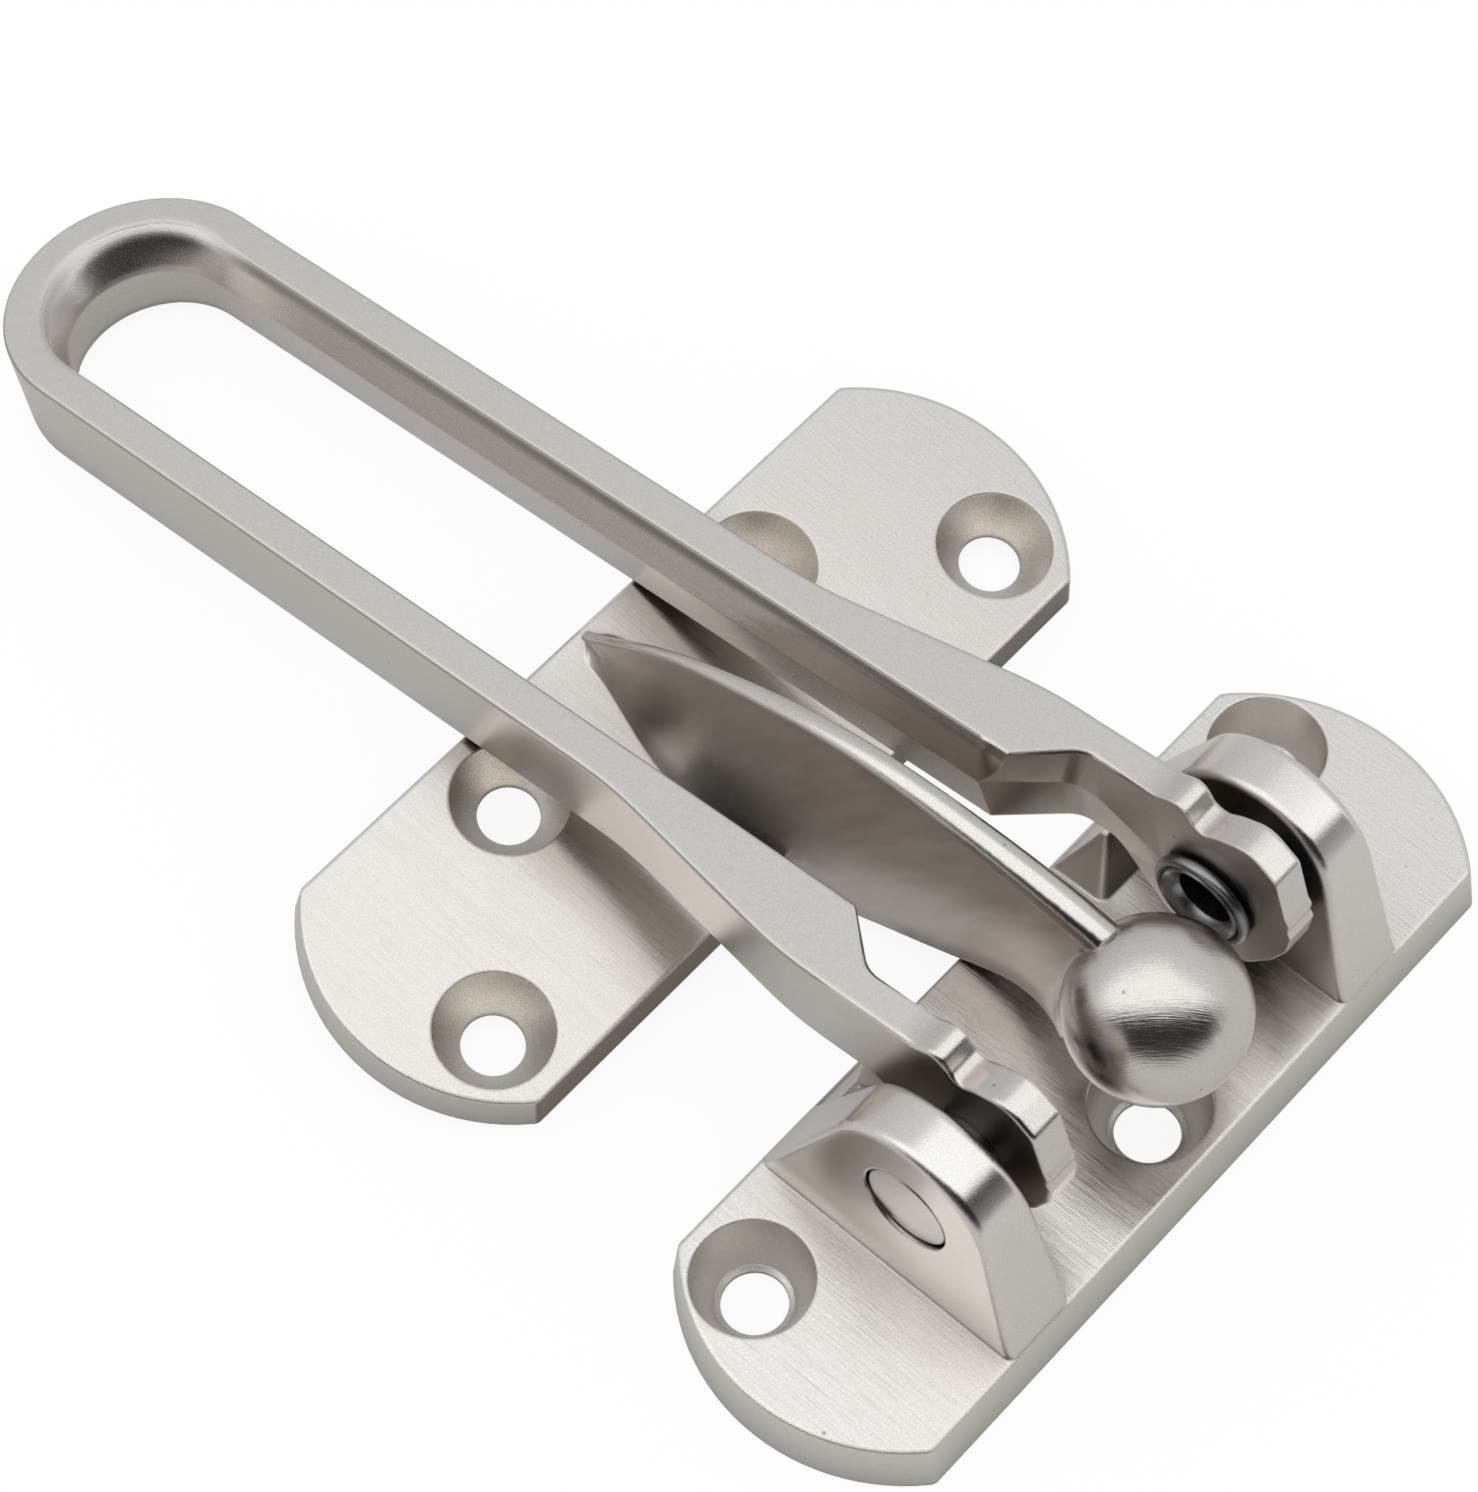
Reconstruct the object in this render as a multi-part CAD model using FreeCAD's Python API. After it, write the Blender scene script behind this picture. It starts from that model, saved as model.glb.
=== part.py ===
import FreeCAD, Part
import math, os
from FreeCAD import Vector

os.makedirs("parts", exist_ok=True)

# Swing bar door guard, in millimetres
# +X is the front of the bar plate, +Y runs along the plates and +Z is up from the table

# Both plates
PLATE_DRAFT_TURN = 7.0          # lean of the plate sides, degrees
PLATE_EDGE_R = 0.3              # softened rim round the face
PLATE_CORNER_R = 1.0            # corner between a side and an end arc
SINK_LIP = 0.12                 # straight wall above the screw cone

# Bar plate
BAR_PLATE_WIDTH = 25.0
BAR_PLATE_LENGTH = 75.0
BAR_PLATE_T = 4.84
BAR_PLATE_END_R = 16.84
BAR_SCREW_D = 5.2
BAR_SINK_D = 9.6
BAR_SEAT_D = 6.15               # foot of the screw cone
BAR_SEAT_Z = 0.6
BAR_HOLE_EDGE = 7.17            # end holes from the plate's ends
BAR_END_HOLE_X = -6.43
BAR_MID_HOLE_X = 6.63

# Pivot
PIVOT_X = 1.6
PIVOT_Z = 15.2
REST_DROP = 7.4                 # the bar's fall below level as it lies, degrees

# Hinge lugs on the bar plate
LUG_R = 7.9
LUG_FRONT_LEAN = 14.0           # front face from upright, degrees
LUG_REAR_LEAN = 26.5
LUG_INNER_Y = 16.2              # at the plate's face
LUG_OUTER_Y = 22.9
LUG_DRAFT = 3.3                 # lean of both side faces, degrees
LUG_EDGE_R = 0.7
STOP_FRONT_X = -7.15              # at the plate's face
STOP_INNER_Y = 10.97
STOP_TOP_X = -10.0
STOP_TOP_Y = 14.3
STOP_TOP_Z = 8.2
STOP_EDGE_R = 1.0

# Swing bar
BAR_H = 8.92
BAR_HALF = 11.9
BAR_TIP_S = 104.0               # centre of the round end, from the pivot
HIP_HALF = 15.15
HIP_START_S = 17.5
HIP_END_S = 38.0
HIP_BEND_R = 40.0
BAR_EDGE_R = 0.4
KNUCKLE_R = 7.9
RIM_HALF = 8.85                 # slot at the top face
LIP_R = 0.35
SEAT_TOP_HALF = 8.35            # top of the ball's seat
SEAT_TOP_Z = 7.6
CREASE_HALF = 7.4               # narrowest line of the slot
CREASE_Z = 4.5
SEAT_BULGE = 0.3
SLOT_FOOT_HALF = 7.75
POCKET_HALF = 12.2
POCKET_CREASE_HALF = 11.75
POCKET_SHOULDER_S = 11.3        # at the top face
POCKET_NECK_S = 16.5
POCKET_STEP = 1.0               # crease and foot reach further along the bar
POCKET_BEND_R = 3.0
POCKET_BEVEL = 0.25
CREASE_START_S = 4.5            # the pocket's crease rises from low on the knuckle
CREASE_START_Z = 0.7
CREASE_FULL_S = 9.9

# Pivot rivets
PIN_R = 3.0
PIN_RUN = 0.05                  # running clearance in the knuckle
PIN_HEAD_R = 3.72
PIN_HEAD_T = 1.4
PIN_HEAD_RING = 0.15            # open ring round the head
PIN_HEAD_INSET = 0.15
CURL_R = 4.4
CURL_GAP = 0.3                  # rolled end to knuckle face
CURL_T = 0.95
CURL_LIP_R = 3.45               # thin inner lip of the rolled end
CURL_GROOVE = 0.3
CURL_BORE_R = 2.5
CURL_BORE_DEPTH = 5.0

# Keeper
KEEPER_WIDTH = 25.4
KEEPER_LENGTH = 75.0
KEEPER_T = 3.5
KEEPER_END_R = 16.5
KEEPER_SCREW_D = 5.1
KEEPER_SINK_D = 9.7
KEEPER_SEAT_D = 5.3
KEEPER_SEAT_Z = 0.4
KEEPER_HOLE_EDGE = 7.97         # end holes from the plate's ends
KEEPER_END_HOLE_X = 6.21
KEEPER_INNER_HOLE_X = -6.35
KEEPER_INNER_HOLE_Y = 14.6
WEB_FOOT_HALF = 5.2             # widest part of the web's foot
RIB_R = 1.46                    # bead along the web, where it meets the ball
KEEPER_X = -42.07
KEEPER_Y = 1.58
KEEPER_TIP = 9.2                # leans forward on its front edge, degrees
BALL_X = 44.5
BALL_Z = 21.87
BALL_R = 7.21

SKIN = 1.0                      # how far cutters and roots run past a face


def tan(degrees):
    return math.tan(math.radians(degrees))


def rounded_wire(corners, to_point):
    """Closed wire through corners (u, v, radius), each corner an arc tangent to both sides."""
    ends = []
    for i, (u, v, radius) in enumerate(corners):
        here = Vector(u, v, 0)
        to_last = (Vector(*corners[i - 1][:2], 0) - here).normalize()
        to_next = (Vector(*corners[(i + 1) % len(corners)][:2], 0) - here).normalize()
        half = to_last.getAngle(to_next) / 2
        reach = radius / math.tan(half)
        middle = here
        if radius:
            inward = (to_last + to_next).normalize()
            middle = here + inward * (radius / math.sin(half) - radius)
        ends.append((here + to_last * reach, middle, here + to_next * reach))
    edges = []
    for i, (start, middle, end) in enumerate(ends):
        leave = ends[i - 1][2]
        if (start - leave).Length > 1e-6:
            edges.append(Part.makeLine(to_point(leave.x, leave.y), to_point(start.x, start.y)))
        if corners[i][2]:
            points = [to_point(p.x, p.y) for p in (start, middle, end)]
            edges.append(Part.Arc(*points).toShape())
    return Part.Wire(edges)


def prism(corners, to_point, along):
    return Part.Face(rounded_wire(corners, to_point)).extrude(along)


def unique(edges):
    """Each edge once, whichever faces it was reached from."""
    kept = []
    for edge in edges:
        if not any(edge.isSame(other) for other in kept):
            kept.append(edge)
    return kept


def mirrored(shape):
    """The same shape on the other side of the middle plane."""
    return shape.mirror(Vector(0, 0, 0), Vector(0, 1, 0))


def plate_outline(half_width, half_length, end_r, z):
    """Straight sides and a shallow arc across each end."""
    centre = half_length - end_r
    corner_y = centre + math.sqrt(end_r ** 2 - half_width ** 2)
    edges = []
    for side in (1, -1):
        a = Vector(side * half_width, side * -corner_y, z)
        b = Vector(side * half_width, side * corner_y, z)
        crown = Vector(0, side * half_length, z)
        c = Vector(-side * half_width, side * corner_y, z)
        edges += [Part.makeLine(a, b), Part.Arc(b, crown, c).toShape()]
    return Part.Wire(edges)


def plate(width, length, thickness, end_r):
    """Plate with drafted sides, rounded corners and a softened rim; the back is at z = 0."""
    lean = thickness * tan(PLATE_DRAFT_TURN)
    top = plate_outline(width / 2, length / 2, end_r, thickness)
    foot = plate_outline(width / 2 + lean, length / 2 + lean, end_r + lean, 0)
    body = Part.makeLoft([foot, top], True, True)
    uprights = [e for e in body.Edges if abs(e.Vertexes[0].Z - e.Vertexes[-1].Z) > SKIN]
    body = body.makeFillet(PLATE_CORNER_R, uprights)
    rim = [e for e in body.Edges if e.BoundBox.ZMin > thickness - 1e-4]
    return body.makeFillet(PLATE_EDGE_R, rim)


def screw_hole(x, y, face_z, screw_d, sink_d, seat_d, seat_z):
    """Cutter for one countersunk screw hole, with a narrow seat at the foot of its cone."""
    half = [(0, -SKIN), (screw_d / 2, -SKIN), (screw_d / 2, seat_z / 2), (seat_d / 2, seat_z),
            (sink_d / 2, face_z - SINK_LIP), (sink_d / 2, face_z + SKIN), (0, face_z + SKIN), (0, -SKIN)]
    section = Part.Face(Part.makePolygon([Vector(x + r, y, z) for r, z in half]))
    return section.revolve(Vector(x, y, 0), Vector(0, 0, 1), 360)


def lug():
    """Right hinge lug: round head on leaning faces, drafted sides, soft crest edges."""
    f = math.radians(LUG_FRONT_LEAN)
    b = math.radians(LUG_REAR_LEAN)
    front = Vector(PIVOT_X + LUG_R * math.cos(f), 0, PIVOT_Z + LUG_R * math.sin(f))
    rear = Vector(PIVOT_X - LUG_R * math.cos(b), 0, PIVOT_Z + LUG_R * math.sin(b))
    root_z = BAR_PLATE_T - SKIN / 2
    front_foot = Vector(front.x + (front.z - root_z) * tan(LUG_FRONT_LEAN), 0, root_z)
    rear_foot = Vector(rear.x - (rear.z - root_z) * tan(LUG_REAR_LEAN), 0, root_z)
    crown = Vector(PIVOT_X, 0, PIVOT_Z + LUG_R)
    outline = Part.Wire([
        Part.makeLine(front_foot, front),
        Part.Arc(front, crown, rear).toShape(),
        Part.makeLine(rear, rear_foot),
        Part.makeLine(rear_foot, front_foot)])
    body = Part.Face(outline).extrude(Vector(0, LUG_OUTER_Y + SKIN, 0))
    top_z = PIVOT_Z + LUG_R + SKIN
    rise = (top_z - BAR_PLATE_T) * tan(LUG_DRAFT)
    sink = SKIN * tan(LUG_DRAFT)
    sides = [(LUG_INNER_Y - sink, BAR_PLATE_T - SKIN, 0), (LUG_OUTER_Y + sink, BAR_PLATE_T - SKIN, 0),
             (LUG_OUTER_Y - rise, top_z, 0), (LUG_INNER_Y + rise, top_z, 0)]
    reach = BAR_PLATE_WIDTH
    wedge = prism(sides, lambda y, z: Vector(-reach, y, z), Vector(2 * reach, 0, 0))
    body = body.common(wedge)
    crest = [e for e in body.Edges if e.BoundBox.ZMax > root_z + SKIN and e.BoundBox.YLength < rise + sink]
    return body.makeFillet(LUG_EDGE_R, crest)


def stop_block():
    """Hipped stop behind the right lug, its ridge running into the lug's rear foot."""
    rear_x = -BAR_PLATE_WIDTH / 2
    root_z = BAR_PLATE_T - SKIN / 2
    far_y = LUG_INNER_Y + 2 * SKIN
    grow = (BAR_PLATE_T - root_z) / (STOP_TOP_Z - BAR_PLATE_T)
    inner_y = STOP_INNER_Y - grow * (STOP_TOP_Y - STOP_INNER_Y)
    front_x = STOP_FRONT_X + grow * (STOP_FRONT_X - STOP_TOP_X)
    foot = [(rear_x, inner_y, 0), (front_x, inner_y, STOP_EDGE_R), (front_x, far_y, 0), (rear_x, far_y, 0)]
    head_half = SKIN / 4
    head = [(STOP_TOP_X - head_half, STOP_TOP_Y, 0), (STOP_TOP_X + head_half, STOP_TOP_Y, STOP_EDGE_R / 4),
            (STOP_TOP_X + head_half, far_y, 0), (STOP_TOP_X - head_half, far_y, 0)]
    low = rounded_wire(foot, lambda x, y: Vector(x, y, root_z))
    high = rounded_wire(head, lambda x, y: Vector(x, y, STOP_TOP_Z))
    return Part.makeLoft([low, high], True, True)


def lug_outer_face_y():
    """Where the lug's outer side face stands at the pivot's height."""
    return LUG_OUTER_Y - (PIVOT_Z - BAR_PLATE_T) * tan(LUG_DRAFT)


def pin_cylinder(radius, start_y, end_y):
    return Part.makeCylinder(radius, end_y - start_y, Vector(PIVOT_X, start_y, PIVOT_Z), Vector(0, 1, 0))


def bar_plate():
    """Casting screwed to the frame: plate, two lugs, two stops, three screw holes."""
    body = plate(BAR_PLATE_WIDTH, BAR_PLATE_LENGTH, BAR_PLATE_T, BAR_PLATE_END_R)
    right = lug().fuse(stop_block())
    body = body.fuse([right, mirrored(right)])
    seat_y = lug_outer_face_y() - PIN_HEAD_INSET - PIN_HEAD_T
    bore = pin_cylinder(PIN_R, LUG_INNER_Y - SKIN, LUG_OUTER_Y + SKIN)
    recess = pin_cylinder(PIN_HEAD_R + PIN_HEAD_RING, seat_y, LUG_OUTER_Y + SKIN)
    drill = bore.fuse(recess)
    end_y = BAR_PLATE_LENGTH / 2 - BAR_HOLE_EDGE
    spots = [(BAR_END_HOLE_X, end_y), (BAR_END_HOLE_X, -end_y), (BAR_MID_HOLE_X, 0)]
    holes = [screw_hole(x, y, BAR_PLATE_T, BAR_SCREW_D, BAR_SINK_D, BAR_SEAT_D, BAR_SEAT_Z) for x, y in spots]
    body = body.cut([drill, mirrored(drill)] + holes)
    return body.removeSplitter()


def rivet():
    """Right pivot rivet: flat head in the lug, shank, hollow end rolled over the knuckle."""
    head_y = lug_outer_face_y() - PIN_HEAD_INSET
    seat_y = head_y - PIN_HEAD_T
    curl_y = POCKET_HALF - CURL_GAP
    nose_y = curl_y - CURL_T
    edge = PIN_HEAD_INSET
    crest_r = CURL_R - (CURL_R - CURL_LIP_R) / 2
    groove_r = (crest_r + CURL_LIP_R) / 2
    throat_r = (CURL_LIP_R + CURL_BORE_R) / 2
    p = lambda r, y: Vector(PIVOT_X + r, y, PIVOT_Z)
    roll = p(CURL_R - edge / 2, nose_y + CURL_T / 3)
    edges = [
        Part.makeLine(p(0, head_y), p(PIN_HEAD_R - edge, head_y)),
        Part.makeLine(p(PIN_HEAD_R - edge, head_y), p(PIN_HEAD_R, head_y - edge)),
        Part.makeLine(p(PIN_HEAD_R, head_y - edge), p(PIN_HEAD_R, seat_y)),
        Part.makeLine(p(PIN_HEAD_R, seat_y), p(PIN_R, seat_y)),
        Part.makeLine(p(PIN_R, seat_y), p(PIN_R, curl_y)),
        Part.makeLine(p(PIN_R, curl_y), p(CURL_R - edge, curl_y)),
        Part.Arc(p(CURL_R - edge, curl_y), roll, p(crest_r, nose_y)).toShape(),
        Part.makeLine(p(crest_r, nose_y), p(groove_r, nose_y + CURL_GROOVE)),
        Part.makeLine(p(groove_r, nose_y + CURL_GROOVE), p(CURL_LIP_R, nose_y)),
        Part.Arc(p(CURL_LIP_R, nose_y), p(throat_r, nose_y + CURL_T / 3), p(CURL_BORE_R, curl_y)).toShape(),
        Part.makeLine(p(CURL_BORE_R, curl_y), p(CURL_BORE_R, curl_y + CURL_BORE_DEPTH)),
        Part.makeLine(p(CURL_BORE_R, curl_y + CURL_BORE_DEPTH), p(0, curl_y + CURL_BORE_DEPTH + SKIN)),
        Part.makeLine(p(0, curl_y + CURL_BORE_DEPTH + SKIN), p(0, head_y))]
    section = Part.Face(Part.Wire(edges))
    return section.revolve(Vector(PIVOT_X, 0, PIVOT_Z), Vector(0, 1, 0), 360)


def bar_outline():
    """Outside of the bar from above: parallel hips, slim arms and a round far end."""
    side = [(POCKET_SHOULDER_S, HIP_HALF, 0), (HIP_START_S, HIP_HALF, HIP_BEND_R),
            (HIP_END_S, BAR_HALF, HIP_BEND_R), (BAR_TIP_S + BAR_HALF, BAR_HALF, BAR_HALF)]
    return side + [(s, -y, r) for s, y, r in reversed(side)]


def slot_section(s):
    """Half of the slot's section: foot, crease, ball seat, steep wall and rounded lip."""
    p = lambda y, z: Vector(-s, y, z)
    foot_lean = (SLOT_FOOT_HALF - CREASE_HALF) / CREASE_Z
    seat_mid = p((SEAT_TOP_HALF + CREASE_HALF) / 2 + SEAT_BULGE, (SEAT_TOP_Z + CREASE_Z) / 2)
    wall_top = RIM_HALF - LIP_R
    lip_mid = LIP_R * (1 - math.sqrt(0.5))
    lip = p(wall_top + lip_mid, BAR_H - lip_mid)
    edges = [
        Part.makeLine(p(0, -SKIN), p(SLOT_FOOT_HALF + SKIN * foot_lean, -SKIN)),
        Part.makeLine(p(SLOT_FOOT_HALF + SKIN * foot_lean, -SKIN), p(CREASE_HALF, CREASE_Z)),
        Part.Arc(p(CREASE_HALF, CREASE_Z), seat_mid, p(SEAT_TOP_HALF, SEAT_TOP_Z)).toShape(),
        Part.makeLine(p(SEAT_TOP_HALF, SEAT_TOP_Z), p(wall_top, BAR_H - LIP_R)),
        Part.Arc(p(wall_top, BAR_H - LIP_R), lip, p(RIM_HALF, BAR_H)).toShape(),
        Part.makeLine(p(RIM_HALF, BAR_H), p(RIM_HALF, BAR_H + SKIN)),
        Part.makeLine(p(RIM_HALF, BAR_H + SKIN), p(0, BAR_H + SKIN)),
        Part.makeLine(p(0, BAR_H + SKIN), p(0, -SKIN))]
    return Part.Face(Part.Wire(edges))


def slot_cutter():
    """The slot's section carried along the arms and turned round the far end."""
    section = slot_section(BAR_TIP_S)
    run = section.extrude(Vector(BAR_TIP_S - POCKET_SHOULDER_S, 0, 0))
    end = section.revolve(Vector(-BAR_TIP_S, 0, 0), Vector(0, 0, 1), 360)
    return run.fuse([mirrored(run), end])


def pocket_cutter():
    """The wider pocket between the hips, pinched to a crease and bevelled round its top."""
    def level(half, step, height):
        shoulder, neck = POCKET_SHOULDER_S + step, POCKET_NECK_S + step
        side = [(-POCKET_HALF, POCKET_HALF, 0), (CREASE_START_S, POCKET_HALF, 0),
                (CREASE_FULL_S, half, 0), (shoulder, half, POCKET_BEND_R),
                (neck, CREASE_HALF + SKIN / 2, SKIN), (neck + 2 * SKIN, CREASE_HALF - SKIN, 0)]
        outline = side + [(s, -y, r) for s, y, r in reversed(side)]
        return rounded_wire(outline, lambda s, y: Vector(-s, y, height(s)))

    def crease_height(s):
        share = (s - CREASE_START_S) / (CREASE_FULL_S - CREASE_START_S)
        return CREASE_START_Z + min(max(share, 0), 1) * (CREASE_Z - CREASE_START_Z)

    foot = level(POCKET_HALF, POCKET_STEP, lambda s: -SKIN)
    crease = level(POCKET_CREASE_HALF, POCKET_STEP, crease_height)
    brink = level(POCKET_HALF, 0, lambda s: BAR_H - POCKET_BEVEL)
    flare = SKIN + POCKET_BEVEL
    top = level(POCKET_HALF + flare, flare / 2, lambda s: BAR_H + SKIN)
    below = Part.Face(foot).extrude(Vector(0, 0, -POCKET_HALF))
    return below.fuse(Part.makeLoft([foot, crease, brink, top], True, True))


def knuckle_block():
    """Profile of both knuckles as one block: barrel, front ridges and the detent bumps on the crown."""
    # along the bar from the pivot, height and rounding, as shares of the knuckle's radius
    bumps = [
        (0.27, 1.25, 0.16), (0.06, 0.94, 0.14), (-0.19, 1.07, 0.50), (-0.54, 1.19, 0.30), (-0.87, 0.91, 0.12),
        (-0.95, 0.41, 0.04), (-0.99, 0.33, 0.03), (-0.97, 0.22, 0.03), (-1.0, 0.14, 0.03),
        (-0.94, -0.13, 0.08), (-0.75, -0.44, 0.19), (-0.43, -0.78, 0.25), (0.13, -0.96, 0.38),
        (0.56, -0.72, 0.25), (1.14, 0.0, 0.25)]
    root_s = POCKET_SHOULDER_S + SKIN
    profile = [(root_s, 0, 0), (root_s, BAR_H, 0), (0.58 * KNUCKLE_R, BAR_H, 0.38 * KNUCKLE_R)]
    profile += [(s * KNUCKLE_R, z * KNUCKLE_R, r * KNUCKLE_R) for s, z, r in bumps]
    return prism(profile, lambda s, z: Vector(-s, -HIP_HALF, z), Vector(0, 2 * HIP_HALF, 0))


def swing_bar():
    """Forked casting with the ball slot, built level and then let down to where it lies."""
    body = prism(bar_outline(), lambda s, y: Vector(-s, y, 0), Vector(0, 0, BAR_H))
    body = body.fuse(knuckle_block()).removeSplitter()
    sides = [f for f in body.Faces if f.BoundBox.YMin > HIP_HALF - 1e-4 or f.BoundBox.YMax < 1e-4 - HIP_HALF]
    rims = [e for e in body.Edges if e.BoundBox.ZLength < 1e-4 and e.BoundBox.XMin < -POCKET_SHOULDER_S]
    rims = [e for e in rims if e.BoundBox.YLength < 2 * HIP_HALF - 1e-4]
    cheeks = [e for f in sides for e in f.Edges if e.BoundBox.XMax > -POCKET_SHOULDER_S]
    body = body.makeFillet(BAR_EDGE_R, unique(rims + cheeks))
    body = body.cut([slot_cutter(), pocket_cutter()])
    bore = Part.makeCylinder(PIN_R + PIN_RUN, 4 * HIP_HALF, Vector(0, -2 * HIP_HALF, 0), Vector(0, 1, 0))
    body = body.cut(bore).removeSplitter()
    body.rotate(Vector(0, 0, 0), Vector(0, 1, 0), -REST_DROP)
    body.translate(Vector(PIVOT_X, 0, PIVOT_Z))
    return body


def web():
    """Concave hull that carries the ball: broad on the plate, thin under the rib, fanned at the ball."""
    # along the plate's X and up as shares of the ball centre's place, half widths as shares of the widest foot
    stations = [
        # x, foot height, foot, waist, top height, top
        (-0.267, 0.137, 0.19, 0.10, 0.169, 0.06), (-0.180, 0.137, 0.50, 0.19, 0.357, 0.06),
        (-0.031, 0.137, 0.87, 0.33, 0.613, 0.08), (0.121, 0.128, 1.00, 0.33, 0.809, 0.10),
        (0.279, 0.064, 0.81, 0.27, 0.974, 0.12), (0.456, 0.133, 0.46, 0.21, 1.079, 0.13),
        (0.643, 0.348, 0.31, 0.17, 1.139, 0.15), (0.764, 0.503, 0.27, 0.21, 1.152, 0.17),
        (0.820, 0.594, 0.42, 0.37, 1.157, 0.19), (0.865, 0.686, 0.65, 0.71, 1.157, 0.27),
        (0.910, 0.768, 0.88, 1.08, 1.152, 0.46)]
    wires = []
    for along, foot_up, foot_share, waist_share, top_up, top_share in stations:
        x = along * BALL_X
        foot_z, top_z = foot_up * BALL_Z, top_up * BALL_Z
        waist_z = (foot_z + top_z) / 2
        foot, waist, top = (share * WEB_FOOT_HALF for share in (foot_share, waist_share, top_share))
        right = Part.BSplineCurve()
        right.interpolate([Vector(x, foot, foot_z), Vector(x, waist, waist_z), Vector(x, top, top_z)])
        left = Part.BSplineCurve()
        left.interpolate([Vector(x, -top, top_z), Vector(x, -waist, waist_z), Vector(x, -foot, foot_z)])
        wires.append(Part.Wire([
            right.toShape(), Part.makeLine(Vector(x, top, top_z), Vector(x, -top, top_z)),
            left.toShape(), Part.makeLine(Vector(x, -foot, foot_z), Vector(x, foot, foot_z))]))
    return Part.makeLoft(wires, True, False)


def rib():
    """Round bead along the top of the web, swelling towards the ball and cut square there."""
    # x and centre height as shares of the ball centre's place, radius as a share of the bead's end
    stations = [(-0.270, 0.165, 0.24), (-0.144, 0.421, 0.31), (-0.056, 0.576, 0.38), (0.034, 0.700, 0.48),
                (0.209, 0.905, 0.62), (0.382, 1.043, 0.73), (0.555, 1.116, 0.84), (0.728, 1.155, 0.96),
                (0.876, 1.161, 1.00)]
    wires = []
    for along, up, share in stations:
        ring = Part.Circle(Vector(along * BALL_X, 0, up * BALL_Z), Vector(1, 0, 0), share * RIB_R)
        wires.append(Part.Wire(ring.toShape()))
    return Part.makeLoft(wires, True, False)


def keeper():
    """Casting screwed to the door: plate, web, rib and ball, four screw holes."""
    body = plate(KEEPER_WIDTH, KEEPER_LENGTH, KEEPER_T, KEEPER_END_R)
    ball = Part.makeSphere(BALL_R, Vector(BALL_X, 0, BALL_Z))
    body = body.fuse([web(), rib(), ball])
    end_y = KEEPER_LENGTH / 2 - KEEPER_HOLE_EDGE
    pairs = ((KEEPER_END_HOLE_X, end_y), (KEEPER_INNER_HOLE_X, KEEPER_INNER_HOLE_Y))
    spots = [(x, side * y) for x, y in pairs for side in (1, -1)]
    body = body.cut([screw_hole(x, y, KEEPER_T, KEEPER_SCREW_D, KEEPER_SINK_D, KEEPER_SEAT_D, KEEPER_SEAT_Z)
                     for x, y in spots])
    front_foot = KEEPER_WIDTH / 2 + KEEPER_T * tan(PLATE_DRAFT_TURN)
    lift = front_foot * math.sin(math.radians(KEEPER_TIP))
    body.rotate(Vector(0, 0, 0), Vector(0, 1, 0), KEEPER_TIP)
    body.translate(Vector(KEEPER_X, KEEPER_Y, lift))
    return body


right_rivet = rivet()
parts = {
    "bar_plate": bar_plate(),
    "right_pivot_rivet": right_rivet,
    "left_pivot_rivet": mirrored(right_rivet),
    "swing_bar": swing_bar(),
    "keeper": keeper(),
}
for node, shape in parts.items():
    solid = shape.Solids[0]
    print(node, len(shape.Solids), solid.isValid(), round(solid.Volume, 1))
    solid.exportStep("parts/" + node + ".step")
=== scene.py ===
import math
import bpy
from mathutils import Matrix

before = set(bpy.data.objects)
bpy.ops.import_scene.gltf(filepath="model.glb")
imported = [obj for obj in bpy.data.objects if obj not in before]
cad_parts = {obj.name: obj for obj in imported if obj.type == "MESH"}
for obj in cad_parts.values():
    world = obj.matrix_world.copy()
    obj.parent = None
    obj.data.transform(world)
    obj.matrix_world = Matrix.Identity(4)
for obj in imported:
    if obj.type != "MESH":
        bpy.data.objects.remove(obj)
bpy.context.view_layer.update()


# Bar plate: a casting with two hinge lugs and two stops, plated in satin nickel.
# Its face is brushed along the short side, and it has three countersunk screw holes.

def new_group(name, inputs, outputs):
    """An empty shader group with float or vector sockets, and its two end nodes."""
    group = bpy.data.node_groups.new(name, "ShaderNodeTree")
    for socket_name, kind, value in inputs:
        socket = group.interface.new_socket(socket_name, in_out="INPUT", socket_type=kind)
        if value is not None:
            socket.default_value = value
    for socket_name, kind in outputs:
        group.interface.new_socket(socket_name, in_out="OUTPUT", socket_type=kind)
    return group, group.nodes.new("NodeGroupInput"), group.nodes.new("NodeGroupOutput")


def feed(tree, socket, value):
    """Gives an input a number, a tuple or another node's output; None leaves it as it is."""
    if isinstance(value, bpy.types.NodeSocket):
        tree.links.new(value, socket)
    elif value is not None:
        socket.default_value = value


def math_node(tree, operation, first, second=None, third=None, clamp=False):
    """A Math node whose inputs are sockets or numbers; gives back its output."""
    node = tree.nodes.new("ShaderNodeMath")
    node.operation = operation
    node.use_clamp = clamp
    for place, value in enumerate((first, second, third)):
        feed(tree, node.inputs[place], value)
    return node.outputs[0]


def times(tree, first, *others):
    """Product of masks and numbers."""
    for other in others:
        first = math_node(tree, "MULTIPLY", first, other)
    return first


def varied(tree, value, least, growth):
    """A number that is least where value is 0, and larger by growth where it is 1."""
    return math_node(tree, "MULTIPLY_ADD", value, growth, least)


def vector_node(tree, operation, first, second=None):
    """A Vector Math node whose inputs are sockets or vectors; gives back the node."""
    node = tree.nodes.new("ShaderNodeVectorMath")
    node.operation = operation
    feed(tree, node.inputs[0], first)
    feed(tree, node.inputs[1], second)
    return node


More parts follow.
